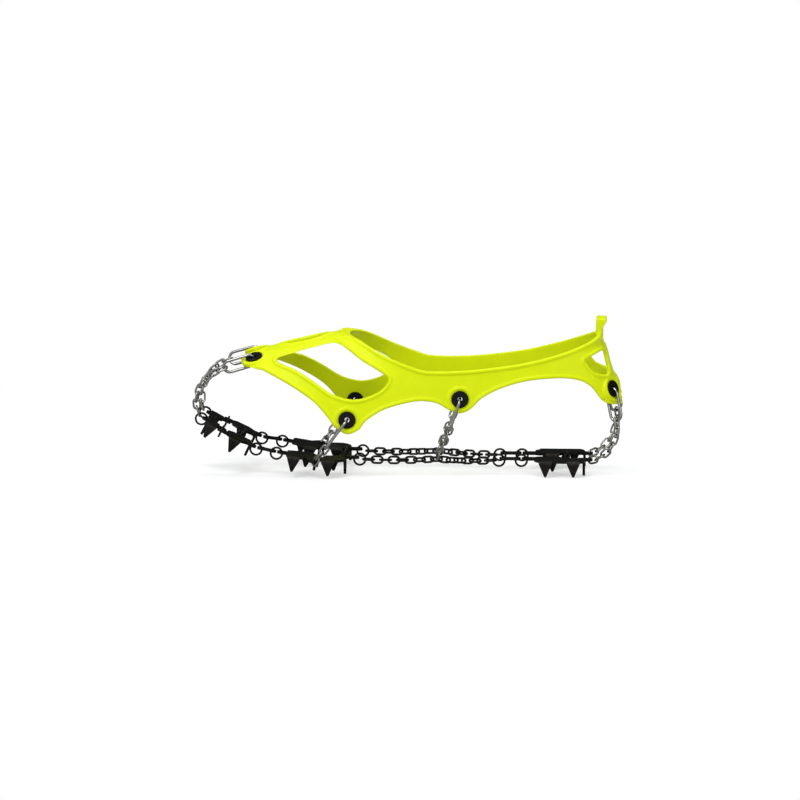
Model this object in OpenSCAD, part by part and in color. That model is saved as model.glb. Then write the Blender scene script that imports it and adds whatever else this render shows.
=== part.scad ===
// Slip-on chain crampon in its worn shape. Toe at -X, heel at +X, left side at -Y.
// The top of the ball plates, where the sole rests, is at z = 0. Millimetres.

/* [Foot form] */
// Front end of the form that the harness is stretched over
form_toe_x = -146; // [-152:1:-142]
// Back end of the form at the reference height
form_heel_x = 141; // [137:1:146]
// Half-width of the form at the heel
form_heel_w = 34.5; // [32:0.5:38]
// How much wider each side is at the ball than at the heel
form_ball_extra = 13; // [9:0.5:16]
// Height of the form's top line above the instep, carried on to x = 0
form_top_z = 90.8; // [88:0.2:93]
// Slope of the top line from the toe to the instep
form_top_slope = 0.23; // [0.2:0.005:0.25]
// Forward lean of the heel's back
form_heel_lean = 0.345; // [0.25:0.005:0.4]

/* [Harness] */
// Wall of the elastomer
harness_wall = 2.4; // [1.8:0.1:2.8]
// Radius of the lobes round the grommets
lobe_r = 9; // [8:0.5:10]
// Width of the pull tab across the heel
tab_w = 20; // [14:1:26]
// Height of the pull tab over the heel's edge
tab_h = 9; // [6:0.5:11]
// Thickness of the pull tab's top lip
tab_lip_t = 7.4; // [5:0.2:9]
// Number of grip ribs on the pull tab
tab_ribs = 3; // [2:1:4]

/* [Grommets] */
// Outside diameter of a grommet's flanges
grommet_d = 11.6; // [10:0.2:13]
// Bore of a grommet
grommet_bore = 4.2; // [4:0.1:5]
// Thickness of a grommet's flanges
grommet_flange_t = 1.1; // [0.8:0.1:1.3]
// Play between a grommet and the elastomer round it
grommet_play = 0.1; // [0.05:0.05:0.2]

/* [Links and chains] */
// Wire of the long links
long_wire = 2; // [1.6:0.1:2.2]
// Inside width of the long links
long_inner_w = 6.6; // [6.4:0.1:7.4]
// Reach of a long link, from its grommet to the chain
long_reach = 20.5; // [18:0.5:23]
// Wire of the chain links
chain_wire = 1.5; // [1.3:0.05:1.6]
// Inside length of the chain links
chain_inner_l = 6.2; // [5.8:0.1:7]
// Inside width of the chain links
chain_inner_w = 3; // [2.8:0.1:3.4]
// Least play between linked wires
chain_play = 0.35; // [0.25:0.05:0.6]

/* [Plates and rings] */
// Thickness of the stamped plates and bars
plate_t = 1.8; // [1.4:0.1:2]
// Height of the teeth under a plate's top
tooth_h = 10.6; // [8:0.2:13]
// Width of a tooth at the plate
tooth_w = 9; // [7:0.5:10]
// Width of a tooth at its tip
tooth_tip_w = 1.4; // [1:0.1:2]
// Inside radius of the teeth's bends
bend_r = 0.7; // [0.4:0.1:1.2]
// Wire of the connecting rings
ring_wire = 1.5; // [1.3:0.1:1.6]
// Radius of the rings to the middle of the wire
ring_r = 3.9; // [3.7:0.1:4.3]
// How far a ring's middle hangs under the middle of its plate
ring_drop = 1.2; // [1:0.1:1.4]
// Bore of the plates' eyes
eye_bore = 3.8; // [3.7:0.1:4]
// Wall round the eyes
eye_wall = 1; // [0.9:0.1:1.1]

/* [Hidden] */
$fn = 40;
form_base_z = 8;
form_ref_z = 55;
form_power = 2.6;
form_max_z = 140;
waist_x = 12;
waist_run = 22;
toe_round_x = -60;
toe_round_power = 2.4;
heel_round_x = 78;
heel_round_power = 3;
lean_start_x = 50;
toe_fall_x = -108;
toe_fall = 0.0138;
ankle_x = -38;
ankle_rise = 0.006;

// Shapes of the harness in the side plane, as x and z
lower_edge = [
  [-103, 61.6], [-97, 60.7], [-92, 59.6], [-75, 51.7], [-59, 41.5], [-50, 32], [-44, 24.5], [-36, 19.5],
  [-28, 22.5], [-23, 28.5], [-12, 35.5], [1, 39.6], [13, 41.5], [24, 40], [32, 35.5], [40, 33], [47, 36],
  [55, 43.5], [69, 50.4], [86, 55], [107, 56.7], [120, 54.8], [128, 50], [137, 39.5], [152, 36]
];
upper_edge = [
  [152, 85], [134, 84], [131, 82.5], [123, 78.7], [107, 73], [85, 67.3], [64, 64], [42, 61.8], [18, 61.6],
  [7, 64.4], [-7, 69.7], [-20, 76], [-27, 79.6], [-34, 82], [-40, 83.6], [-45, 87]
];
front_edge = [[-45, 96], [-103, 96]];
side_window = [
  [-85, 66.7], [-73, 71.3], [-59, 75.2], [-49, 77.6], [-43, 77.6], [-36, 74.3], [-27, 68.2], [-15, 61.5], [-8.5, 56],
  [-13, 49.3], [-21, 45], [-30, 42.8], [-39, 43.8], [-48, 47.3], [-59, 54.6], [-71, 61.3]
];
heel_window = [[122.5, 68.3], [135.2, 73.8], [138.8, 56.9], [130, 59.5]];
heel_window_round = 1.6;

// Shapes of the harness seen from above, as x and y of the right half
top_window = [[-84, 0], [-78, 7], [-68, 10], [-58, 8.5], [-51, 0]];
toe_notch = [[-125, 30], [-113, 26], [-111, 20], [-108, 12], [-98, 8], [-95, 0]];

// The gap between the heel's lobes, seen from behind, as y and z of the right half
back_notch = [[0, 53.5], [5, 52], [9, 47.5], [11, 41], [11.5, 30]];

// Places of the grommets on the form, as x and z: toe, forefoot, arch, heel
grommet_at = [[-100, 65], [-36, 29], [39.5, 42.5], [140, 47]];
reach_extra = [0, 2.5, 0, 0];
places = ["toe", "forefoot", "arch", "heel"];
side_names = ["left", "right"];

// Stations of the plates and rings along the sole, as x, z of the plates' top, and y
ring_toe = [-136.3, 26, 14];
hinge_front = [-122.3, 18.6, 21];
ring_bar_front = [-98.6, 7.2, 24];
ring_ball = [-84.9, 4.8, 26];
hinge_ball = [-57, 0.3, 28];
ring_arch = [-29.1, 0, 18];
ring_bar_heel = [65.2, -1, 12];
ring_heel = [80.4, -1, 12];
eye_heel = [126, -1, 14];
junction_x = 23;
junction_z = -1.8;
arch_sag = 0.6;
cross_sag = 0.6;
cross_links = [3, 5, 3];

eye_r = eye_bore / 2 + eye_wall;
eye_reach = eye_r + 0.25;
lobe_t = harness_wall + 0.4;
grommet_half = lobe_t / 2 + grommet_play + grommet_flange_t;
barrel_r = grommet_bore / 2 + grommet_flange_t;
long_r = (long_inner_w + long_wire) / 2;
long_seat = (long_r - sqrt(long_r * long_r - grommet_half * grommet_half)) / 2;
chain_step = chain_inner_l - chain_play;
function cross_eye_y(i) = (cross_links[i] * chain_step + chain_wire + chain_play) / 2;
far = 400;

function unit(v) = v / norm(v);
function mix(a, b, t) = a + (b - a) * t;
function smooth(t) = let (c = min(1, max(0, t))) c * c * (3 - 2 * c);
function flip(v) = [v.x, -v.y, v.z];

// The form: half-width and top line along x, grown outwards by o
function lean_share(x) = smooth((x - lean_start_x) / (form_heel_x - lean_start_x));
function plain_w(x) = form_heel_w + form_ball_extra / (1 + exp((x - waist_x) / waist_run));
function rounding(x, start, end, power) = pow(max(0, 1 - pow(max(0, (x - start) / (end - start)), power)), 1 / power);
function form_w(x, o = 0) = (plain_w(x) + o)
  * rounding(-x, -toe_round_x, -form_toe_x + o, toe_round_power)
  * rounding(x, heel_round_x, form_heel_x + o, heel_round_power);
function form_top(x, o = 0) = o + min(form_max_z, form_top_z + form_top_slope * x
  - toe_fall * pow(max(0, toe_fall_x - x), 2) + ankle_rise * pow(max(0, x - ankle_x), 2));
function unlean(x, z, n = 6, g) = let (h = is_undef(g) ? x : g)
  n == 0 ? h : unlean(x, z, n - 1, x + form_heel_lean * (z - form_ref_z) * lean_share(h));

// Half-width of the form at x and z, and its outward normal there on the right side
function form_y(x, z) = let (u = unlean(x, z), q = (z - form_base_z) / (form_top(u) - form_base_z))
  form_w(u) * pow(max(0, 1 - pow(max(0, q), form_power)), 1 / form_power);
function form_normal(x, z, d = 0.5) = unit([
  (form_y(x - d, z) - form_y(x + d, z)) / (2 * d), 1, (form_y(x, z - d) - form_y(x, z + d)) / (2 * d)
]);

// Grommet centres and axes, and the long links' pull towards the chains' feet, on the right side
function grommet_normal(i) = form_normal(grommet_at[i].x, grommet_at[i].y);
function grommet_centre(i) = let (g = grommet_at[i])
  [g.x, form_y(g.x, g.y), g.y] + grommet_normal(i) * harness_wall / 2;
function pull(i) = let (v = foot(i) - grommet_centre(i), n = grommet_normal(i)) unit(v - n * (v * n));
function reach(i) = long_reach + reach_extra[i];
function chain_top(i) = grommet_centre(i) + pull(i) * reach(i);

// Slopes of the plates, and the mean slope at a ring between two of them
function slope(a, b) = atan2(b.y - a.y, b.x - a.x);
function mean_slope(a, s, b) = (slope(a, s) + slope(s, b)) / 2;
tilt_toe = slope(ring_toe, hinge_front);
tilt_hinge_front = mean_slope(ring_toe, hinge_front, ring_bar_front);
tilt_bar_front = mean_slope(hinge_front, ring_bar_front, ring_ball);
tilt_ball = mean_slope(ring_bar_front, ring_ball, hinge_ball);
tilt_hinge_ball = mean_slope(ring_ball, hinge_ball, ring_arch);
tilt_arch = slope(hinge_ball, ring_arch);

// A ring's middle under its station, a point on its wire, and the middle of an eye
function ring_middle(s, t = 0) = [s.x, s.z, s.y] + (plate_t / 2 + ring_drop) * [sin(t), 0, -cos(t)];
function on_ring_side(s, a, t = 0) = ring_middle(s, t) + ring_r * [cos(a), 0, sin(a)];
function eye_middle(s) = [s.x, s.z, s.y - plate_t / 2];

// Where each side chain ends: the toe ring, the ball plate's side eye, the sole chain and the heel plate's eye
junction = let (t = (junction_x - ring_arch.x) / (ring_bar_heel.x - ring_arch.x))
  [junction_x, mix(ring_arch.z, ring_bar_heel.z, t) + 3, junction_z];
junction_w = unit([0, 0.72, 0.69]);
toe_hold = 115;
side_eye = [26, 41];
side_eye_out = unit([0.65, 0.76, 0]);
heel_eye_out = unit([0.84, 0.54, 0]);
rim = (eye_bore + eye_wall) / 2;
function foot(i) = [
  on_ring_side(ring_toe, toe_hold, tilt_toe),
  plate_point(ring_ball, hinge_ball, side_eye.x, side_eye.y) + side_eye_out * rim,
  junction + [0.5, 0, 0] + junction_w * (chain_inner_w + chain_wire) / 2,
  eye_middle(eye_heel) + heel_eye_out * rim
][i];
foot_wire = [ring_wire, plate_t + 2.3, chain_wire + 0.2, plate_t + 1.2];
bulge = [9, 0.6, 0.6, 8];
// Along the wire or rim that a side chain's last link holds
held = [
  [-sin(toe_hold), 0, cos(toe_hold)], [-side_eye_out.y, side_eye_out.x, 0], [1, 0, 0],
  [-heel_eye_out.y, heel_eye_out.x, 0]
];

// Points a chain's links hang between, on an arc from p to q that bulges by h towards u
function arc_points(p, q, h, u, links) = let (
  v = q - p, l = norm(v), side = unit(u - unit(v) * (u * unit(v))), r = (l * l / 4 + h * h) / (2 * h),
  a = asin(min(1, l / 2 / r)), o = (p + q) / 2 + side * (h - r),
  n = is_undef(links) ? ceil(2 * a * PI / 180 * r / chain_step) : links
) [for (i = [0:n]) let (b = -a + 2 * a * i / n) o + r * (sin(b) * unit(v) + cos(b) * side)];
function side_chain_points(i) = let (
  p = chain_top(i), f = foot(i), n = grommet_normal(i), e = arc_points(p, f, bulge[i], n), m = len(e) - 1
) arc_points(p, f + unit(e[m] - e[m - 1]) * foot_wire[i] / 2, bulge[i], n);

module frame(o, ex, ey) {
  ez = cross(ex, ey);
  multmatrix([
    [ex.x, ey.x, ez.x, o.x], [ex.y, ey.y, ez.y, o.y], [ex.z, ey.z, ez.z, o.z], [0, 0, 0, 1]
  ]) children();
}

module along(o, axis) {
  ex = unit(abs(axis.z) < 0.9 ? cross(axis, [0, 0, 1]) : cross(axis, [0, 1, 0]));
  frame(o, ex, cross(axis, ex)) children();
}

module on_side(s) mirror([0, s == 0 ? 1 : 0, 0]) children();

// An oval link: inside length and width, wire; its length along X and its width along Y
module oval_link(l, w, d) {
  r = (w + d) / 2;
  straight = round((l - w) * 50) / 50;
  for (turn = [0, 180]) rotate([0, 0, turn]) {
    translate([straight / 2, 0, 0]) rotate([0, 0, -90]) rotate_extrude(angle = 180) translate([r, 0]) circle(d = d);
    translate([-straight / 2, r, 0]) rotate([0, 90, 0]) cylinder(d = d, h = straight);
  }
}

// Links between the points q, each turned a quarter from the last, from one width direction to another
module chain(q, w_first, w_last, ref) {
  n = len(q) - 1;
  axis = [for (i = [0:n - 1]) unit(q[i + 1] - q[i])];
  zero = [for (a = axis) unit(ref - a * (ref * a))];
  side = [for (i = [0:n - 1]) cross(axis[i], zero[i])];
  first = atan2(w_first * side[0], w_first * zero[0]);
  last = atan2(w_last * side[n - 1], w_last * zero[n - 1]);
  over = (last - first - 90 * (n - 1)) % 180;
  spread = n < 2 ? 0 : (over > 90 ? over - 180 : over < -90 ? over + 180 : over) / (n - 1);
  for (i = [0:n - 1]) {
    roll = first + i * (90 + spread);
    frame((q[i] + q[i + 1]) / 2, axis[i], zero[i] * cos(roll) + side[i] * sin(roll))
      oval_link(chain_inner_l, chain_inner_w, chain_wire);
  }
}

// The solid form grown by o, from sections along x
station_step = 12;
form_front_x = -124;
heel_start_x = 56;
heel_steps = 8;
arch_steps = 20;
module form(o) {
  xs = concat(
    [for (x = [form_front_x:station_step:heel_start_x - station_step / 2]) x],
    [for (i = [0:heel_steps]) heel_start_x + (form_heel_x + o - heel_start_x) * sin(88 * i / heel_steps)]
  );
  m = arch_steps + 1;
  n = len(xs);
  section = function (x) [for (j = [0:arch_steps]) let (
    a = 180 * j / arch_steps, c = cos(a), k = 2 / form_power,
    z = form_base_z + (form_top(x, o) - form_base_z) * pow(max(0, sin(a)), k)
  ) [x - form_heel_lean * (z - form_ref_z) * lean_share(x), form_w(x, o) * sign(c) * pow(abs(c), k), z]];
  polyhedron(
    points = [for (x = xs) each section(x)],
    faces = concat(
      [for (i = [0:n - 2], j = [0:m - 2]) each [
        [i * m + j, (i + 1) * m + j, (i + 1) * m + j + 1], [i * m + j, (i + 1) * m + j + 1, i * m + j + 1]
      ]],
      [for (i = [0:n - 2]) each [
        [i * m + m - 1, (i + 1) * m + m - 1, (i + 1) * m], [i * m + m - 1, (i + 1) * m, i * m]
      ]],
      [[for (j = [0:m - 1]) j]],
      [[for (j = [m - 1:-1:0]) (n - 1) * m + j]]
    )
  );
}

// A smooth line through points
function spline(p, i, t) = let (
  a = p[max(0, i - 1)], b = p[i], c = p[i + 1], d = p[min(len(p) - 1, i + 2)]
) b + t * ((c - a) / 2 + t * (a - 2.5 * b + 2 * c - d / 2 + t * (1.5 * b - a / 2 - 1.5 * c + d / 2)));
curve_steps = 2;
function curve(p) = concat(
  [for (i = [0:len(p) - 2], k = [0:curve_steps - 1]) spline(p, i, k / curve_steps)], [p[len(p) - 1]]
);

module side_shape() {
  difference() {
    union() {
      polygon(concat(curve(lower_edge), curve(upper_edge), front_edge));
      for (g = [grommet_at[1], grommet_at[2]]) translate(g) circle(lobe_r);
    }
    polygon(curve(concat(side_window, [side_window[0]])));
    offset(heel_window_round) offset(-heel_window_round) polygon(heel_window);
  }
}

module top_cut() {
  for (s = [1, -1]) scale([1, s]) {
    polygon(concat(curve(top_window), [[-84, -0.1], [-51, -0.1]]));
    polygon(concat(curve(toe_notch), [[-95, -0.1], [-125, -0.1]]));
  }
}

module across() rotate([90, 0, 0]) linear_extrude(far, center = true) children();
module upright() linear_extrude(far, center = true) children();

module shell(from, to) {
  difference() {
    form(to);
    form(from);
  }
}

module pull_tab() {
  z0 = upper_edge[0].y - 6;
  back = form_heel_x + harness_wall - form_heel_lean * (z0 - form_ref_z);
  top = z0 + 6 + tab_h;
  intersection() {
    across() union() {
      polygon([
        [back - harness_wall - 0.4, z0], [back, z0], [back - 0.6, z0 + 5], [back - 0.4, top - 8],
        [back + 0.7, top - 5], [back + 2.8, top - 1.8], [back + 2.2, top - 0.2], [back + 3.8 - tab_lip_t, top],
        [back + 2.8 - tab_lip_t, top - 0.9], [back - 3.8, z0 + 5]
      ]);
      for (i = [1:tab_ribs]) translate([back - 0.7, z0 + i * 2]) circle(0.8);
    }
    rotate([0, 90, 0]) linear_extrude(far, center = true) offset(2) offset(-2) polygon([
      [-z0 + 1, -tab_w * 0.42], [-top, -tab_w / 2], [-top, tab_w / 2], [-z0 + 1, tab_w * 0.42]
    ]);
  }
}

module harness() {
  $fn = 20;
  color("#DDF200") union() {
    difference() {
      union() {
        intersection() {
          shell(0, harness_wall);
          across() side_shape();
        }
        pull_tab();
      }
      upright() top_cut();
      translate([form_heel_x - 20, 0, 0]) rotate([90, 0, 90]) linear_extrude(60) for (k = [1, -1]) scale([k, 1])
        polygon(concat(curve(back_notch), [[-0.1, 30], [-0.1, 53.5]]));
      for (i = [0:3], s = [0, 1]) on_side(s) along(grommet_centre(i), grommet_normal(i))
        cylinder(r = lobe_r - 0.7, h = 16, center = true);
    }
    for (i = [0:3], s = [0, 1]) on_side(s) along(grommet_centre(i), grommet_normal(i)) lobe();
  }
}

// A flat disc round a grommet, with eased edges
module lobe() {
  difference() {
    hull() {
      cylinder(r = lobe_r, h = lobe_t - 0.8, center = true);
      cylinder(r = lobe_r - 0.5, h = lobe_t, center = true);
    }
    cylinder(r = barrel_r + grommet_play, h = far, center = true);
  }
}

module grommet() {
  barrel_h = lobe_t / 2 + grommet_play + 0.01;
  edge = 0.35;
  rotate_extrude() polygon([
    [grommet_bore / 2 + edge, -grommet_half], [grommet_d / 2 - edge, -grommet_half],
    [grommet_d / 2, -grommet_half + edge], [grommet_d / 2, -barrel_h], [barrel_r, -barrel_h],
    [barrel_r, barrel_h], [grommet_d / 2, barrel_h], [grommet_d / 2, grommet_half - edge],
    [grommet_d / 2 - edge, grommet_half], [grommet_bore / 2 + edge, grommet_half],
    [grommet_bore / 2, grommet_half - edge], [grommet_bore / 2, -grommet_half + edge]
  ]);
}

module grommets(i) {
  color("#181818") for (s = [0, 1]) on_side(s) along(grommet_centre(i), grommet_normal(i)) grommet();
}

module long_link(i, s) {
  inner = reach(i) + chain_play / 2 + long_seat - long_wire / 2;
  n = grommet_normal(i);
  t = pull(i);
  mid = grommet_centre(i) + t * (reach(i) + chain_play / 2 - inner / 2);
  color("#D8DADC") on_side(s) frame(mid, t, n) oval_link(inner, long_inner_w, long_wire);
}

module side_chain(i, s) {
  n = grommet_normal(i);
  q = side_chain_points(i);
  m = len(q) - 1;
  across_q = cross(unit(q[m] - q[0]), n);
  color("#D0D2D4") on_side(s) chain(q, cross(n, pull(i)), unit(cross(held[i], q[m] - q[m - 1])), unit(across_q));
}

// A plate's frame, from one station to the next, in the plane of its top
module on_plate(a, b) {
  ex = unit([b.x - a.x, 0, b.y - a.y]);
  frame([a.x, 0, a.y], ex, [0, 1, 0]) children();
}
function span(a, b) = norm([b.x - a.x, b.y - a.y]);

// An eye at e, with an arm of metal from there to c
module eye_shape(e, c) {
  d = c - e;
  translate(e) {
    circle(eye_r);
    if (norm(d) > 0) rotate(atan2(d.y, d.x)) translate([0, -eye_r]) square([norm(d), 2 * eye_r]);
  }
}

// A tooth bent down from an edge at p, whose outward direction is turned by a
module tooth(p, a) {
  r = plate_t + bend_r;
  translate([p.x, p.y, 0]) rotate([0, 0, a]) intersection() {
    rotate([90, 0, 0]) linear_extrude(tooth_w, center = true) {
      translate([-1, -plate_t]) square([1.01, plate_t]);
      intersection() {
        translate([0, -r]) difference() {
          circle(r);
          circle(bend_r);
        }
        translate([0, -r]) square(r);
      }
      translate([bend_r, -tooth_h]) square([plate_t, tooth_h - r + 0.01]);
    }
    rotate([90, 0, 90]) linear_extrude(4 * r, center = true) polygon([
      [-tooth_w / 2, 1], [tooth_w / 2, 1], [tooth_w / 2, -r * 0.6], [tooth_tip_w / 2, -tooth_h],
      [-tooth_tip_w / 2, -tooth_h], [-tooth_w / 2, -r * 0.6]
    ]);
  }
}

// A stamped plate: its outline, its eyes with their roots, and its teeth as x, y and direction
module stamping(outline, eyes, teeth) {
  color("#2B2B2D") {
    translate([0, 0, -plate_t]) linear_extrude(plate_t) difference() {
      union() {
        polygon(outline);
        for (e = eyes) eye_shape(e[0], e[1]);
      }
      for (e = eyes) translate(e[0]) circle(d = eye_bore);
    }
    for (t = teeth) tooth([t[0], t[1]], t[2]);
  }
}

module toe_plate(s) {
  a = ring_toe;
  b = hinge_front;
  l = span(a, b);
  on_side(s) on_plate(a, b) stamping(
    [[6.5, 9], [8.5, 7], [13, 11], [13, 20], [12, 23], [6.5, 23]],
    [[[eye_reach, a.z], [8, a.z]], [[l, b.z - eye_reach], [9, b.z - eye_reach]]],
    [[6.5, 19.5, 180], [7.8, 23, 90]]
  );
}

module front_plate(s) {
  a = hinge_front;
  b = ring_bar_front;
  l = span(a, b);
  on_side(s) on_plate(a, b) stamping(
    [[4, 16], [8, 13], [18, 13], [20, 16], [20, 26], [16, 30], [6, 30], [4, 27]],
    [[[0, a.z + eye_reach], [6, a.z + eye_reach]], [[l - eye_reach, b.z], [18, b.z]], [[13, cross_eye_y(0)], [13, 15]]],
    [[11, 30, 90], [20, 17.5, 0]]
  );
}

module ball_plate_front(s) {
  a = ring_ball;
  b = hinge_ball;
  l = span(a, b);
  on_side(s) on_plate(a, b) stamping(
    [[7, 18], [16, 13], [25, 13], [25, 33], [21, 37], [8, 37], [7, 34]],
    [[[eye_reach, a.z], [9, a.z]], [[l, b.z - eye_reach], [23, b.z - eye_reach]], [side_eye, [20, 33]]],
    [[12.6, 37, 90], [20, 13, -90], [25, 19, 0]]
  );
}

module ball_plate_rear(s) {
  a = hinge_ball;
  b = ring_arch;
  l = span(a, b);
  on_side(s) on_plate(a, b) stamping(
    [[3, 24], [5, 18], [15, 18], [17, 16], [17, 34], [13, 38], [3, 38]],
    [[[0, a.z + eye_reach], [6, a.z + eye_reach]], [[l - eye_reach, b.z], [15, b.z]], [[17, cross_eye_y(1)], [15, 20]]],
    [[7.5, 38, 90], [10, 18, -90], [17, 28.5, 0]]
  );
}

module heel_plate(s) {
  a = ring_heel;
  b = eye_heel;
  l = span(a, b);
  on_side(s) on_plate(a, b) stamping(
    [[9, 9], [12, 7], [26, 7], [28, 12], [38, 12], [41, 14], [41, 25], [40, 27], [14, 27], [9, 20]],
    [[[eye_reach, a.z], [11, a.z]], [[l, b.z], [39, b.z]], [[30, cross_eye_y(2)], [30, 14]]],
    [[16.6, 27, 90], [35.5, 27, 90], [21, 7, -90], [41, 20.5, 0]]
  );
}

bar_half = 2.2;
module bar(s, a, b) {
  l = span(a, b);
  on_side(s) on_plate(a, b) stamping(
    [
      [eye_reach, a.z - bar_half], [l - eye_reach, b.z - bar_half], [l - eye_reach, b.z + bar_half],
      [eye_reach, a.z + bar_half]
    ],
    [for (e = [[eye_reach, a.z], [l - eye_reach, b.z]]) [e, e]], []
  );
}

// A connecting ring at a station, upright along the row or, for a hinge, across it
module ring(s, at, tilt = 0, turn = 0) {
  color("#303032") on_side(s) translate(ring_middle(at, tilt)) rotate([0, -tilt, 0]) rotate([90, 0, turn])
    rotate_extrude() translate([ring_r, 0]) circle(d = ring_wire);
}

module sole_chain(s) {
  half = [chain_inner_l / 2 - chain_play / 2, 0, 0];
  along_x = unit([ring_bar_heel.x - ring_arch.x, ring_bar_heel.z - ring_arch.z, 0]);
  start = on_ring_side(ring_arch, 0, tilt_arch) - along_x * ring_wire / 2;
  end = on_ring_side(ring_bar_heel, 180) + along_x * ring_wire / 2;
  turned = [0, -junction_w.z, junction_w.y];
  color("#3A3A3C") on_side(s) {
    chain(arc_points(start, junction - half, arch_sag, [0, 0, -1]), [0, 1, 0], turned, [0, 0, 1]);
    frame(junction, [1, 0, 0], junction_w) oval_link(chain_inner_l, chain_inner_w, chain_wire);
    chain(arc_points(junction + half, end, arch_sag, [0, 0, -1]), turned, [0, 1, 0], [0, 0, 1]);
  }
}

// A chain across the sole between the inner eyes of the left and right plates
function plate_point(a, b, x, y) = let (ex = unit([b.x - a.x, 0, b.y - a.y]), n = [-ex.z, 0, ex.x])
  [a.x, y, a.y] + ex * x - n * plate_t / 2;
cross_end = [
  plate_point(hinge_front, ring_bar_front, 13, cross_eye_y(0)),
  plate_point(hinge_ball, ring_arch, 17, cross_eye_y(1)),
  plate_point(ring_heel, eye_heel, 30, cross_eye_y(2))
];
function cross_points(i) = let (p = cross_end[i], in = [0, (chain_wire + chain_play) / 2, 0])
  arc_points(flip(p) + in, p - in, cross_sag, [0, 0, -1], cross_links[i]);
module cross_chain(i) {
  a = [slope(hinge_front, ring_bar_front), slope(hinge_ball, ring_arch), slope(ring_heel, eye_heel)][i];
  up = [-sin(a), 0, cos(a)];
  color("#3A3A3C") chain(cross_points(i), up, up, [1, 0, 0]);
}

harness();
for (i = [0:3]) grommets(i);
for (i = [0:3], s = [0, 1]) {
  long_link(i, s);
  side_chain(i, s);
}
for (s = [0, 1]) {
  toe_plate(s);
  front_plate(s);
  ball_plate_front(s);
  ball_plate_rear(s);
  heel_plate(s);
  bar(s, ring_bar_front, ring_ball);
  bar(s, ring_bar_heel, ring_heel);
  ring(s, ring_toe, tilt_toe);
  ring(s, hinge_front, tilt_hinge_front, 90);
  ring(s, ring_bar_front, tilt_bar_front);
  ring(s, ring_ball, tilt_ball);
  ring(s, hinge_ball, tilt_hinge_ball, 90);
  ring(s, ring_arch, tilt_arch);
  ring(s, ring_bar_heel);
  ring(s, ring_heel);
  sole_chain(s);
}
cross_chain(0);  // front_cross_chain
cross_chain(1);  // ball_cross_chain
cross_chain(2);  // heel_cross_chain
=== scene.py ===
import math

import bmesh
import bpy
from mathutils import Matrix, Vector


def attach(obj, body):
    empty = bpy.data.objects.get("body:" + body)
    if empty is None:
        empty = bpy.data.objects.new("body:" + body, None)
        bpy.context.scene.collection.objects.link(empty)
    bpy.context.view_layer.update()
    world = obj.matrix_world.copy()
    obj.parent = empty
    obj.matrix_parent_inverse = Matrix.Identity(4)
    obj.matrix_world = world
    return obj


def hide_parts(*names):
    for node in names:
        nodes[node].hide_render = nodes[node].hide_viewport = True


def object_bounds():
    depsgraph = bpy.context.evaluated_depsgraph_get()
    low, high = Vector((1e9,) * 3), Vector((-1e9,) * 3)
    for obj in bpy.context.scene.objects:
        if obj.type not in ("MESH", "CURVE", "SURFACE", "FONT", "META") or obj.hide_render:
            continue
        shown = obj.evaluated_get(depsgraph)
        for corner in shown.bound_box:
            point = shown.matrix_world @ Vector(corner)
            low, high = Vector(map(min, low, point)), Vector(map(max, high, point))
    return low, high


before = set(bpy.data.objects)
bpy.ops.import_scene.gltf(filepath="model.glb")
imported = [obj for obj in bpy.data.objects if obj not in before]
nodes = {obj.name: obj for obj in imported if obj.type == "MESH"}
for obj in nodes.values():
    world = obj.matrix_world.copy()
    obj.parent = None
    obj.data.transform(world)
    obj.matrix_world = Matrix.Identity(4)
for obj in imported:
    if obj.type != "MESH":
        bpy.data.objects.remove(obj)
cadLow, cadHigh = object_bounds()
scene = bpy.context.scene
mm = 0.001
print("frame loaded,", len(nodes), "nodes")


def linear(hexColour):
    channels = [int(hexColour[i:i + 2], 16) / 255 for i in (1, 3, 5)]
    made = [c / 12.92 if c <= 0.04045 else ((c + 0.055) / 1.055) ** 2.4 for c in channels]
    return (*made, 1.0)


def grey(level):
    return (level, level, level, 1)


def connect(holder, node, links):
    for name, source in links.items():
        holder.node_tree.links.new(source, node.inputs[name])


def addNode(holder, kind, settings=None, links=None):
    made = holder.node_tree.nodes.new(kind)
    for name, value in (settings or {}).items():
        if name == "stops":
            elements = made.color_ramp.elements
            while len(elements) < len(value):
                elements.new(0.5)
            for element, (place, colour) in zip(elements, value):
                element.position = place
                element.color = colour
        elif name in made.inputs:
            made.inputs[name].default_value = value
        else:
            setattr(made, name, value)
    connect(holder, made, links or {})
    return made


def newMaterial(name, settings):
    material = bpy.data.materials.new(name)
    material.use_nodes = True
    shader = material.node_tree.nodes["Principled BSDF"]
    for socket, value in settings.items():
        shader.inputs[socket].default_value = value
    return material, shader


# fluorescent thermoplastic elastomer, moulded with a satin surface: one bright, even colour, soft
# highlights, and a little light that comes through the rims
elastomer, shader = newMaterial("fluorescent elastomer", {
    "Roughness": 0.46,
    "IOR": 1.5,
    "Specular IOR Level": 0.15,
    "Subsurface Weight": 0.12,
    "Subsurface Radius": (0.003, 0.003, 0.001),
    "Subsurface Scale": 1.0,
})
place = addNode(elastomer, "ShaderNodeTexCoord").outputs["Object"]
# faint clouds of pigment, about 9 mm across
mottle = addNode(
    elastomer, "ShaderNodeTexNoise", {"Scale": 1 / (9 * mm), "Detail": 3}, {"Vector": place},
)
tint = addNode(
    elastomer, "ShaderNodeValToRGB",
    {"stops": [(0.2, linear("#DBEA00")), (0.8, linear("#E1F002"))]},
    {"Fac": mottle.outputs["Fac"]},
)
# the mould's grain, drawn at 0.5 mm because the real one is too fine to show
grain = addNode(
    elastomer, "ShaderNodeTexNoise", {"Scale": 1 / (0.5 * mm), "Detail": 2}, {"Vector": place},
)
bump = addNode(
    elastomer, "ShaderNodeBump",
    {"Strength": 0.06, "Distance": 0.2 * mm},
    {"Height": grain.outputs["Fac"]},
)
connect(elastomer, shader, {"Base Color": tint.outputs["Color"], "Normal": bump.outputs["Normal"]})

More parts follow.
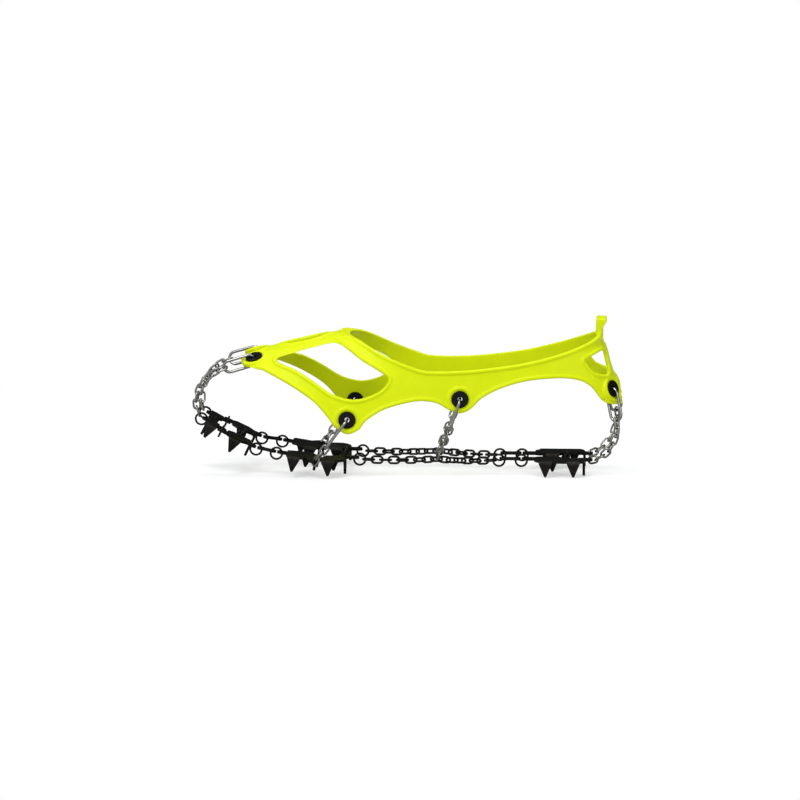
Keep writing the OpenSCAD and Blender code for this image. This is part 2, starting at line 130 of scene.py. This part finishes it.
# black glass-filled nylon, moulded: deep black with a dull sheen
nylon, shader = newMaterial("black nylon", {
    "Base Color": linear("#070707"),
    "Roughness": 0.42,
    "Specular IOR Level": 0.15,
})
place = addNode(nylon, "ShaderNodeTexCoord").outputs["Object"]
# glass fibres near the surface, drawn at 0.4 mm because the real ones are too fine to show
grain = addNode(
    nylon, "ShaderNodeTexNoise", {"Scale": 1 / (0.4 * mm), "Detail": 2}, {"Vector": place},
)
bump = addNode(
    nylon, "ShaderNodeBump",
    {"Strength": 0.08, "Distance": 0.1 * mm},
    {"Height": grain.outputs["Fac"]},
)
connect(nylon, shader, {"Normal": bump.outputs["Normal"]})

# drawn and polished stainless wire: bright and dark stripes along it
stainless, shader = newMaterial("bright stainless steel", {
    "Base Color": linear("#8F8E8B"),
    "Metallic": 1.0,
})
place = addNode(stainless, "ShaderNodeTexCoord").outputs["Object"]
# rubbed spots about 2.5 mm across are a little duller
rubbed = addNode(
    stainless, "ShaderNodeTexNoise", {"Scale": 1 / (2.5 * mm), "Detail": 4}, {"Vector": place},
)
wear = addNode(
    stainless, "ShaderNodeValToRGB",
    {"stops": [(0.3, grey(0.06)), (0.75, grey(0.16))]},
    {"Fac": rubbed.outputs["Fac"]},
)
connect(stainless, shader, {"Roughness": wear.outputs["Color"]})

# hardened steel with a dark oxide finish: nearly black, with paler and glossier patches
darkSteel, shader = newMaterial("dark oxide steel", {"Metallic": 1.0})
place = addNode(darkSteel, "ShaderNodeTexCoord").outputs["Object"]
# patches of oxide about 6 mm across
patina = addNode(
    darkSteel, "ShaderNodeTexNoise",
    {"Scale": 1 / (6 * mm), "Detail": 5, "Roughness": 0.6},
    {"Vector": place},
)
tone = addNode(
    darkSteel, "ShaderNodeValToRGB",
    {"stops": [(0.3, linear("#1C1B1A")), (0.75, linear("#2E2C2B"))]},
    {"Fac": patina.outputs["Fac"]},
)
gloss = addNode(
    darkSteel, "ShaderNodeValToRGB",
    {"stops": [(0.3, grey(0.42)), (0.8, grey(0.28))]},
    {"Fac": patina.outputs["Fac"]},
)
connect(darkSteel, shader, {"Base Color": tone.outputs["Color"], "Roughness": gloss.outputs["Color"]})
print("materials made")


# the form that the harness is stretched over, in millimetres
form = {
    "toeX": -146, "heelX": 141, "baseZ": 8, "refZ": 55, "power": 2.6, "maxZ": 140,
    "heelW": 34.5, "ballExtra": 13, "waistX": 12, "waistRun": 22,
    "topZ": 90.8, "topSlope": 0.23, "toeFallX": -108, "toeFall": 0.0138,
    "ankleX": -38, "ankleRise": 0.006,
    "lean": 0.345, "leanX": 50, "toeRoundX": -60, "toePower": 2.4, "heelRoundX": 78, "heelPower": 3,
    "frontX": -124, "splitX": 62, "stationMm": 2.5, "heelStations": 40, "heelTurn": 88.5, "steps": 120,
}


def leanShare(x):
    t = min(1, max(0, (x - form["leanX"]) / (form["heelX"] - form["leanX"])))
    return t * t * (3 - 2 * t)


def rounding(x, start, end, power):
    t = max(0, (x - start) / (end - start))
    return max(0, 1 - t ** power) ** (1 / power)


def formWidth(x, grow):
    plain = form["heelW"] + form["ballExtra"] / (1 + math.exp((x - form["waistX"]) / form["waistRun"]))
    toe = rounding(-x, -form["toeRoundX"], -form["toeX"] + grow, form["toePower"])
    heel = rounding(x, form["heelRoundX"], form["heelX"] + grow, form["heelPower"])
    return (plain + grow) * toe * heel


def formTop(x, grow):
    z = form["topZ"] + form["topSlope"] * x
    z -= form["toeFall"] * max(0, form["toeFallX"] - x) ** 2
    z += form["ankleRise"] * max(0, x - form["ankleX"]) ** 2
    return min(form["maxZ"], z) + grow


def sideY(x, z, grow):
    # the lean depends on the place before leaning, which is found by repeating
    u = x
    for _ in range(8):
        u = x + form["lean"] * (z - form["refZ"]) * leanShare(u)
    q = max(0, (z - form["baseZ"]) / (formTop(u, grow) - form["baseZ"]))
    return formWidth(u, grow) * max(0, 1 - q ** form["power"]) ** (1 / form["power"])


def topZ(x, y, grow):
    q = min(1, abs(y) / formWidth(x, grow))
    height = formTop(x, grow) - form["baseZ"]
    return form["baseZ"] + height * (1 - q ** form["power"]) ** (1 / form["power"])


def sideNormal(x, z):
    step = 0.5
    dx = (sideY(x - step, z, 0) - sideY(x + step, z, 0)) / (2 * step)
    dz = (sideY(x, z - step, 0) - sideY(x, z + step, 0)) / (2 * step)
    return Vector((dx, 1, dz)).normalized()


def spline(points, steps, closed=False):
    # a smooth curve through all the points
    made = []
    count = len(points)
    spans = count if closed else count - 1
    for i in range(spans):
        picks = [i - 1, i, i + 1, i + 2]
        picks = [k % count for k in picks] if closed else [min(count - 1, max(0, k)) for k in picks]
        a, b, c, d = [Vector(points[k]) for k in picks]
        for k in range(steps):
            t = k / steps
            bend = a - 2.5 * b + 2 * c - d / 2 + t * (1.5 * b - a / 2 - 1.5 * c + d / 2)
            made.append(b + t * ((c - a) / 2 + t * bend))
    if not closed:
        made.append(Vector(points[-1]))
    return made


def newObject(name, bm, closed=True):
    if closed:
        bmesh.ops.recalc_face_normals(bm, faces=bm.faces)
    mesh = bpy.data.meshes.new(name)
    bm.to_mesh(mesh)
    bm.free()
    made = bpy.data.objects.new(name, mesh)
    scene.collection.objects.link(made)
    return made


def edgeLoop(bm, points):
    corners = [bm.verts.new(p) for p in points]
    return [bm.edges.new(pair) for pair in zip(corners, corners[1:] + corners[:1])]


def formSection(x, grow):
    made = []
    k = 2 / form["power"]
    for j in range(form["steps"] + 1):
        a = math.pi * j / form["steps"]
        c = math.cos(a)
        z = form["baseZ"] + (formTop(x, grow) - form["baseZ"]) * max(0, math.sin(a)) ** k
        y = formWidth(x, grow) * math.copysign(abs(c) ** k, c)
        made.append((x - form["lean"] * (z - form["refZ"]) * leanShare(x), y, z))
    return made


def formObject(name, grow):
    split = form["splitX"]
    step = form["stationMm"]
    stations = [form["frontX"] + step * i for i in range(math.ceil((split - form["frontX"]) / step))]
    turns = form["heelStations"]
    reach = form["heelX"] + grow - split
    # towards the heel the stations draw together, as the form rounds off
    for i in range(turns + 1):
        stations.append(split + reach * math.sin(math.radians(form["heelTurn"] * i / turns)))
    bm = bmesh.new()
    loops = [edgeLoop(bm, formSection(x, grow)) for x in stations]
    for loop, after in zip(loops, loops[1:]):
        bmesh.ops.bridge_loops(bm, edges=loop + after)
    for end in (loops[0], loops[-1]):
        bmesh.ops.contextual_create(bm, geom=end)
    return newObject(name, bm)


def prism(name, corners, way):
    bm = bmesh.new()
    face = bm.faces.new([bm.verts.new(p) for p in corners])
    pushed = bmesh.ops.extrude_face_region(bm, geom=[face])["geom"]
    bmesh.ops.translate(bm, vec=way, verts=[v for v in pushed if isinstance(v, bmesh.types.BMVert)])
    return newObject(name, bm)


def spun(name, profile, place, segments=64):
    bm = bmesh.new()
    ring = edgeLoop(bm, [place @ Vector((r, 0, h)) for r, h in profile])
    axis = place.to_3x3() @ Vector((0, 0, 1))
    bmesh.ops.spin(
        bm, geom=list(bm.verts) + ring, cent=place.translation, axis=axis, angle=2 * math.pi,
        steps=segments, use_merge=True, use_duplicate=False,
    )
    return newObject(name, bm)


# how far the cutters reach, in millimetres
cutter = {"sideY": 90, "bottomZ": 10, "tallMm": 180, "backX": 120, "deepMm": 60}


def acrossY(name, outline):
    side = cutter["sideY"]
    return prism(name, [(x, -side, z) for x, z in outline], (0, 2 * side, 0))


def alongZ(name, outline):
    return prism(name, [(x, y, cutter["bottomZ"]) for x, y in outline], (0, 0, cutter["tallMm"]))


def alongX(name, outline):
    return prism(name, [(cutter["backX"], y, z) for y, z in outline], (cutter["deepMm"], 0, 0))


def applied(obj):
    graph = bpy.context.evaluated_depsgraph_get()
    mesh = bpy.data.meshes.new_from_object(obj.evaluated_get(graph))
    obj.modifiers.clear()
    obj.data = mesh


def cut(obj, other, operation):
    modifier = obj.modifiers.new("cut", "BOOLEAN")
    modifier.operation = operation
    modifier.solver = "EXACT"
    modifier.object = other
    applied(obj)
    bpy.data.objects.remove(other)


def bead(name, path, radius, closed):
    curve = bpy.data.curves.new(name, "CURVE")
    curve.dimensions = "3D"
    curve.bevel_depth = radius
    curve.bevel_resolution = 3
    curve.use_fill_caps = True
    line = curve.splines.new("POLY")
    line.points.add(len(path) - 1)
    for point, place in zip(line.points, path):
        point.co = (*place, 1)
    line.use_cyclic_u = closed
    holder = bpy.data.objects.new(name, curve)
    scene.collection.objects.link(holder)
    graph = bpy.context.evaluated_depsgraph_get()
    mesh = bpy.data.meshes.new_from_object(holder.evaluated_get(graph))
    bpy.data.objects.remove(holder)
    made = bpy.data.objects.new(name, mesh)
    scene.collection.objects.link(made)
    return made


def axisFrame(origin, axis):
    return Matrix.Translation(origin) @ axis.to_track_quat("Z", "Y").to_matrix().to_4x4()


def joined(objs, name):
    bm = bmesh.new()
    for obj in objs:
        bm.from_mesh(obj.data)
        bpy.data.objects.remove(obj)
    return newObject(name, bm, False)


# outlines as x and z seen from the side, x and y from above, and y and z from behind, in millimetres
harness = {
    "wall": 2.4, "lobeR": 9, "lobeT": 2.8, "lobeEdge": 0.4, "lobeLap": 0.7, "barrelR": 3.3, "plugMm": 9,
    "beadR": 1.45, "beadSink": 0.4, "beadInset": 1.35, "lobeBeadSink": 0.45, "lobeBeadFlat": 0.85,
    "lowerBeadX": (-99, 136), "upperBeadY": 0.3, "toeBeadX": -109, "backBeadZ": 40,
    "edgeSteps": 10, "windowSteps": 8, "lowerBeadSteps": 40, "upperBeadSteps": 60, "beadSteps": 12,
    "voxelMm": 0.36, "smoothing": 14, "keepFaces": 0.18,
    "lower": [
        (-103, 61.6), (-97, 60.7), (-92, 59.6), (-75, 51.7), (-59, 41.5), (-50, 32), (-44, 24.5),
        (-36, 19.5), (-28, 22.5), (-23, 28.5), (-12, 35.5), (1, 39.6), (13, 41.5), (24, 40), (32, 35.5),
        (40, 33), (47, 36), (55, 43.5), (69, 50.4), (86, 55), (107, 56.7), (120, 54.8), (128, 50),
        (137, 39.5), (152, 36),
    ],
    "upper": [
        (152, 85), (134, 84), (131, 82.5), (123, 78.7), (107, 73), (85, 67.3), (64, 64), (42, 61.8),
        (18, 61.6), (7, 64.4), (-7, 69.7), (-20, 76), (-27, 79.6), (-34, 82), (-40, 83.6), (-45, 87),
    ],
    "front": [(-45, 96), (-103, 96)],
    "sideWindow": [
        (-85, 66.7), (-73, 71.3), (-59, 75.2), (-49, 77.6), (-43, 77.6), (-36, 74.3), (-27, 68.2),
        (-15, 61.5), (-8.5, 56), (-13, 49.3), (-21, 45), (-30, 42.8), (-39, 43.8), (-48, 47.3),
        (-59, 54.6), (-71, 61.3),
    ],
    "heelWindow": [
        (123.4, 68.2), (128, 70.6), (133.6, 73), (135.3, 72), (138.1, 59.3), (137.1, 57.5),
        (131.5, 59.2), (129.3, 60.6), (124.4, 66.3),
    ],
    "topWindow": [
        (-84, 0), (-78, 7), (-68, 10), (-58, 8.5), (-51, 0), (-58, -8.5), (-68, -10), (-78, -7),
    ],
    "toeNotch": [
        (-125, 30), (-113, 26), (-111, 20), (-108, 12), (-98, 8), (-95, 0), (-98, -8), (-108, -12),
        (-111, -20), (-113, -26), (-125, -30),
    ],
    "backNotch": [
        (-11.5, 30), (-11, 41), (-9, 47.5), (-5, 52), (0, 53.5), (5, 52), (9, 47.5), (11, 41),
        (11.5, 30),
    ],
    "grommets": [(-100, 65), (-36, 29), (39.5, 42.5), (140, 47)],
}


def mirrored(v):
    return Vector((v.x, -v.y, v.z))


def lobeFrames():
    # right and left frame of each lobe, with z outwards through its grommet
    made = []
    for x, z in harness["grommets"]:
        normal = sideNormal(x, z)
        centre = Vector((x, sideY(x, z, 0), z)) + normal * harness["wall"] / 2
        made.append(axisFrame(centre, normal))
        made.append(axisFrame(mirrored(centre), mirrored(normal)))
    return made


def shifted(points, distance, closed=False):
    # the same line, moved to its left
    made = []
    count = len(points)
    for i, point in enumerate(points):
        before = points[(i - 1) % count] if closed else points[max(0, i - 1)]
        after = points[(i + 1) % count] if closed else points[min(count - 1, i + 1)]
        way = Vector(after) - Vector(before)
        made.append(Vector(point) + Vector((-way.y, way.x)).normalized() * distance)
    return made


def backX(y, z, grow):
    # the back face, found by halving
    low, high = 100, 160
    for _ in range(40):
        middle = (low + high) / 2
        if sideY(middle, z, grow) > abs(y):
            low = middle
        else:
            high = middle
    return low


def harnessBeads():
    h = harness
    lift = h["wall"] - h["beadSink"]
    inset = h["beadInset"]
    steps = h["beadSteps"]
    made = []

    def onSide(points):
        return [Vector((x, sideY(x, z, lift), z)) for x, z in points]

    def onTop(points):
        return [Vector((x, y, topZ(x, y, lift))) for x, y in points]

    def addBead(name, path, closed, both=False):
        made.append(bead(name, path, h["beadR"], closed))
        if both:
            made.append(bead(name, [mirrored(p) for p in path], h["beadR"], closed))

    first, last = h["lowerBeadX"]
    lower = onSide(shifted(spline(h["lower"], h["lowerBeadSteps"]), inset))
    addBead("lower", [p for p in lower if first < p.x < last], False, True)
    upper = onSide(shifted(spline(h["upper"], h["upperBeadSteps"]), inset))
    upper = [p for p in upper if p.y > h["upperBeadY"]]
    addBead("upper", upper + [mirrored(p) for p in reversed(upper)], True)
    for window in ("sideWindow", "heelWindow"):
        addBead(window, onSide(shifted(spline(h[window], steps, True), inset, True)), True, True)
    addBead("top window", onTop(shifted(spline(h["topWindow"], steps, True), inset, True)), True)
    notch = shifted(spline(h["toeNotch"], steps), inset)
    addBead("toe notch", onTop([p for p in notch if p.x > h["toeBeadX"]]), False)
    notch = shifted(spline(h["backNotch"], steps), inset)
    gap = [Vector((backX(y, z, lift), y, z)) for y, z in notch if z > h["backBeadZ"]]
    addBead("back notch", gap, False)

    ring = h["lobeR"] - h["beadR"]
    level = h["lobeT"] / 2 - h["lobeBeadSink"]
    corners = 10
    profile = []
    for k in range(corners):
        a = 2 * math.pi * k / corners
        profile.append((
            ring + h["beadR"] * math.cos(a),
            level + h["beadR"] * h["lobeBeadFlat"] * math.sin(a),
        ))
    for place in lobeFrames():
        made.append(spun("lobe bead", profile, place))
    return made


# the outline runs outwards from the harness's back face, with its heights
tab = {
    "width": 20, "baseZ": 79, "topZ": 94, "narrow": 0.86, "narrowMm": 2,
    "outline": [
        (-3.4, 76), (1.0, 76), (0, 79), (-0.6, 84), (-0.4, 86), (0.7, 89), (2.8, 92.2), (2.2, 93.8),
        (-3.6, 94), (-4.6, 93.1), (-4.8, 84),
    ],
    "ribs": 3, "ribR": 0.9, "ribGap": 2, "ribSink": 0.5, "ribShare": 0.78,
}


def pullTab():
    t = tab
    half = t["width"] / 2
    back = form["heelX"] + harness["wall"] - form["lean"] * (t["baseZ"] - form["refZ"])
    body = prism("tab", [(back + x, -half, z) for x, z in t["outline"]], (0, 2 * half, 0))
    # narrower at its foot than at its top
    foot = t["baseZ"] + t["narrowMm"]
    for corner in body.data.vertices:
        flare = min(1, max(0, (corner.co.z - foot) / (t["topZ"] - foot)))
        corner.co.y *= t["narrow"] + (1 - t["narrow"]) * flare
    made = [body]
    reach = half * t["ribShare"]
    for i in range(t["ribs"]):
        z = t["baseZ"] + t["ribGap"] * (i + 1)
        rib = [Vector((back - t["ribSink"], y, z)) for y in (-reach, reach)]
        made.append(bead("rib", rib, t["ribR"], False))
    return made


def buildHarness():
    h = harness
    steps = h["windowSteps"]
    shell = formObject("harness", h["wall"])
    cut(shell, formObject("inside", 0), "DIFFERENCE")
    outline = spline(h["lower"], h["edgeSteps"]) + spline(h["upper"], h["edgeSteps"])
    outline += [Vector(p) for p in h["front"]]
    cut(shell, acrossY("sides", outline), "INTERSECT")
    for window in ("sideWindow", "heelWindow"):
        cut(shell, acrossY(window, spline(h[window], steps, True)), "DIFFERENCE")
    cut(shell, alongZ("top window", spline(h["topWindow"], steps, True)), "DIFFERENCE")
    cut(shell, alongZ("toe notch", spline(h["toeNotch"], steps)), "DIFFERENCE")
    cut(shell, alongX("back notch", spline(h["backNotch"], steps)), "DIFFERENCE")

    parts = [shell]
    rim = h["lobeR"]
    half = h["lobeT"] / 2
    edge = h["lobeEdge"]
    seat = rim - h["lobeLap"]
    reach = h["plugMm"]
    plug = [(0.01, -reach), (seat, -reach), (seat, reach), (0.01, reach)]
    lobe = [
        (h["barrelR"], -half), (rim - edge, -half), (rim, -half + edge), (rim, half - edge),
        (rim - edge, half), (h["barrelR"], half),
    ]
    for place in lobeFrames():
        cut(shell, spun("plug", plug, place), "DIFFERENCE")
        parts.append(spun("lobe", lobe, place))
    parts += harnessBeads() + pullTab()
    made = joined(parts, "elastomer_harness")
    made.data.transform(Matrix.Scale(mm, 4))
    # the shell, lobes, beads and tab become one moulded skin with soft inside corners
    remesh = made.modifiers.new("one skin", "REMESH")
    remesh.mode = "VOXEL"
    remesh.voxel_size = h["voxelMm"] * mm
    smooth = made.modifiers.new("soft edges", "SMOOTH")
    smooth.iterations = h["smoothing"]
    smooth.factor = 0.5
    lighter = made.modifiers.new("fewer faces", "DECIMATE")
    lighter.ratio = h["keepFaces"]
    applied(made)
    made.data.polygons.foreach_set("use_smooth", [True] * len(made.data.polygons))
    made.data.materials.clear()
    made.data.materials.append(elastomer)
    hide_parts("harness")
    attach(made, "harness")
    print("harness made,", len(made.data.polygons), "faces")


buildHarness()

grommet = {
    "flangeR": 5.8, "halfMm": 2.6, "neckR": 3.2, "faceMm": 1.5, "boreR": 1.6, "mouthR": 2.3,
    "edgeMm": 0.35, "edgeShare": 0.3, "segments": 48,
}


def buildGrommets():
    g = grommet
    rim = g["flangeR"]
    half = g["halfMm"]
    face = g["faceMm"]
    edge = g["edgeMm"]
    ease = edge * g["edgeShare"]
    mouth = g["mouthR"] - g["boreR"]
    # the bore is narrowest in its middle and opens in a round lip on both faces
    bore = [
        (g["boreR"] + mouth * (1 - math.cos(math.radians(a))), half * math.sin(math.radians(a)))
        for a in range(90, -91, -15)
    ]
    upper = [
        (rim - edge, half), (rim - ease, half - ease), (rim, half - edge), (rim, face), (g["neckR"], face),
    ]
    outside = [(r, -h) for r, h in upper] + upper[::-1]
    frames = lobeFrames()
    for i, place in enumerate(("toe", "forefoot", "arch", "heel")):
        sides = frames[2 * i:2 * i + 2]
        pair = [spun("grommet", bore + outside, side, g["segments"]) for side in sides]
        made = joined(pair, place + "_grommet_pair")
        made.data.transform(Matrix.Scale(mm, 4))
        for polygon in made.data.polygons:
            polygon.use_smooth = True
        creases = made.modifiers.new("normals", "WEIGHTED_NORMAL")
        creases.keep_sharp = False
        made.data.materials.append(nylon)
        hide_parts(place + "_grommets")
        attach(made, "harness")
    print("grommets made")


buildGrommets()

# each kind's material, slot, eased edge in mm, and how far its skin is drawn in, in mm, so that the
# facets of an eye and of the wire in it don't touch at the end of a joint's range; a node takes the first
# kind that its name holds, so a bar's rings come before the bar
finishes = {
    "ring": (darkSteel, "dark_steel", 0, 0.04),
    "long_link": (stainless, "bright_steel", 0, 0),
    "side_chain": (stainless, "bright_steel", 0, 0.04),
    "sole_chain": (darkSteel, "dark_steel", 0, 0),
    "cross_chain": (darkSteel, "dark_steel", 0, 0),
    "plate": (darkSteel, "dark_steel", 0.22, 0),
    "bar": (darkSteel, "dark_steel", 0.22, 0),
}
edges = {"weldMm": 0.005, "segments": 2, "sharpest": 40}
for name, obj in nodes.items():
    if name == "harness" or name.endswith("grommets"):
        continue
    kind = next(k for k in finishes if k in name)
    material, slotName, bevelMm, slimMm = finishes[kind]
    obj.data.materials.clear()
    obj.data.materials.append(material)
    weld = obj.modifiers.new("weld", "WELD")
    weld.merge_threshold = edges["weldMm"] * mm
    if slimMm:
        slim = obj.modifiers.new("drawn in", "DISPLACE")
        slim.mid_level = 0
        slim.strength = -slimMm * mm
    if bevelMm:
        bevel = obj.modifiers.new("eased edges", "BEVEL")
        bevel.width = bevelMm * mm
        bevel.segments = edges["segments"]
        bevel.limit_method = "ANGLE"
        bevel.angle_limit = math.radians(edges["sharpest"])
    for polygon in obj.data.polygons:
        polygon.use_smooth = True
    smooth = obj.modifiers.new("normals", "WEIGHTED_NORMAL")
    smooth.keep_sharp = False
print("metal finished")


# angles in degrees, distances in metres; the scale holds at the near side of the object
camera = {
    "azimuth": 3, "elevation": 8.5, "distance": 3.0, "nearSide": 0.03, "clipEnd": 20,
    "mmPerPixel": 0.676, "pixels": 800, "sensorMm": 36, "rightMm": -2.7, "upMm": 35.6,
}


def buildCamera():
    c = camera
    a = math.radians(c["azimuth"])
    e = math.radians(c["elevation"])
    back = Vector((math.sin(a) * math.cos(e), -math.cos(a) * math.cos(e), math.sin(e)))
    right = Vector((math.cos(a), math.sin(a), 0))
    up = back.cross(right)
    target = (right * c["rightMm"] + up * c["upMm"]) * mm
    data = bpy.data.cameras.new("camera")
    data.sensor_width = c["sensorMm"]
    data.lens = c["sensorMm"] * (c["distance"] - c["nearSide"]) / (c["pixels"] * c["mmPerPixel"] * mm)
    data.clip_end = c["clipEnd"]
    made = bpy.data.objects.new("camera", data)
    made.location = target + back * c["distance"]
    made.rotation_mode = "QUATERNION"
    made.rotation_quaternion = (-back).to_track_quat("-Z", "Y")
    scene.collection.objects.link(made)
    scene.camera = made


# place and size in metres, power in watts
lamps = {
    "key": {"place": (-0.5, -0.8, 1.2), "size": (0.7, 0.7), "power": 10.8},
    "fill": {"place": (0.7, -1.1, 0.5), "size": (0.8, 0.8), "power": 4.6},
    "top": {"place": (0.0, 0.3, 1.2), "size": (0.8, 0.5), "power": 5},
}
lampAim = Vector((0, 0, 0.03))


def areaLight(name, place, size, power):
    data = bpy.data.lights.new(name, "AREA")
    data.shape = "RECTANGLE"
    data.size, data.size_y = size
    data.energy = power
    made = bpy.data.objects.new(name, data)
    made.location = place
    made.rotation_mode = "QUATERNION"
    made.rotation_quaternion = (lampAim - Vector(place)).to_track_quat("-Z", "Y")
    scene.collection.objects.link(made)


studio = {
    "floorMm": 8000, "gapMm": 0.5, "shadowMm": 230, "whiteMm": 480, "paper": 0.5, "lift": 0.55,
    "sky": (0.9, 0.93, 1.0, 1), "skyLight": 0.45,
    "brightSide": (-0.5, -0.6, 0.6), "room": [(0.0, 0.04), (0.45, 0.08), (0.65, 0.9), (1.0, 1.0)],
}


def seenRays(holder):
    # camera rays, and the rays that metal and gloss send out
    path = addNode(holder, "ShaderNodeLightPath").outputs
    seen = path["Is Camera Ray"]
    for ray in ("Is Glossy Ray", "Is Transmission Ray"):
        larger = addNode(holder, "ShaderNodeMath", {"operation": "MAXIMUM"}, {0: seen, 1: path[ray]})
        seen = larger.outputs[0]
    return path["Is Camera Ray"], seen


def buildWorld():
    world = bpy.data.worlds.new("studio")
    scene.world = world
    world.use_nodes = True
    direct, seen = seenRays(world)
    sky = world.node_tree.nodes["Background"]
    sky.inputs["Color"].default_value = studio["sky"]
    sky.inputs["Strength"].default_value = studio["skyLight"]
    white = addNode(world, "ShaderNodeBackground", {"Color": grey(1)})
    # what the metal mirrors: a bright side of the room, where the key light is, and dark walls
    way = addNode(world, "ShaderNodeTexCoord").outputs["Generated"]
    facing = addNode(world, "ShaderNodeVectorMath", {"operation": "DOT_PRODUCT"}, {0: way})
    facing.inputs[1].default_value = Vector(studio["brightSide"]).normalized()
    walls = addNode(
        world, "ShaderNodeValToRGB",
        {"stops": [(t, grey(level)) for t, level in studio["room"]]},
        {"Fac": facing.outputs["Value"]},
    )
    room = addNode(world, "ShaderNodeBackground", None, {"Color": walls.outputs["Color"]})
    backdrop = addNode(
        world, "ShaderNodeMixShader", None, {"Fac": direct, 1: room.outputs[0], 2: white.outputs[0]},
    )
    surface = addNode(
        world, "ShaderNodeMixShader", None, {"Fac": seen, 1: sky.outputs[0], 2: backdrop.outputs[0]},
    )
    connect(world, world.node_tree.nodes["World Output"], {"Surface": surface.outputs[0]})


def buildFloor():
    bm = bmesh.new()
    bmesh.ops.create_grid(bm, x_segments=1, y_segments=1, size=studio["floorMm"] / 2 * mm)
    bmesh.ops.translate(bm, vec=(0, 0, cadLow.z - studio["gapMm"] * mm), verts=bm.verts)
    floor = newObject("floor", bm)
    paper, shader = newMaterial("pale paper", {
        "Base Color": grey(studio["paper"]),
        "Roughness": 0.8,
        "Specular IOR Level": 0,
    })
    # white where the light reaches it, with the shadow kept near the object, and plain white further out
    direct, seen = seenRays(paper)
    glow = addNode(paper, "ShaderNodeEmission", {"Strength": studio["lift"]})
    lit = addNode(paper, "ShaderNodeAddShader", None, {0: shader.outputs[0], 1: glow.outputs[0]})
    place = addNode(paper, "ShaderNodeTexCoord").outputs["Object"]
    reach = addNode(paper, "ShaderNodeVectorMath", {"operation": "LENGTH"}, {0: place})
    fade = addNode(
        paper, "ShaderNodeMapRange",
        {
            "interpolation_type": "SMOOTHSTEP",
            "From Min": studio["shadowMm"] * mm,
            "From Max": studio["whiteMm"] * mm,
        },
        {"Value": reach.outputs["Value"]},
    )
    white = addNode(paper, "ShaderNodeEmission")
    far = addNode(
        paper, "ShaderNodeMath", {"operation": "MULTIPLY"}, {0: seen, 1: fade.outputs["Result"]},
    )
    near = addNode(
        paper, "ShaderNodeMixShader", None, {"Fac": direct, 1: shader.outputs[0], 2: lit.outputs[0]},
    )
    surface = addNode(
        paper, "ShaderNodeMixShader", None,
        {"Fac": far.outputs[0], 1: near.outputs[0], 2: white.outputs[0]},
    )
    connect(paper, paper.node_tree.nodes["Material Output"], {"Surface": surface.outputs[0]})
    floor.data.materials.append(paper)


buildCamera()
buildWorld()
buildFloor()
for name, lamp in lamps.items():
    areaLight(name, **lamp)
scene.view_settings.view_transform = "Standard"
print("camera and studio ready")
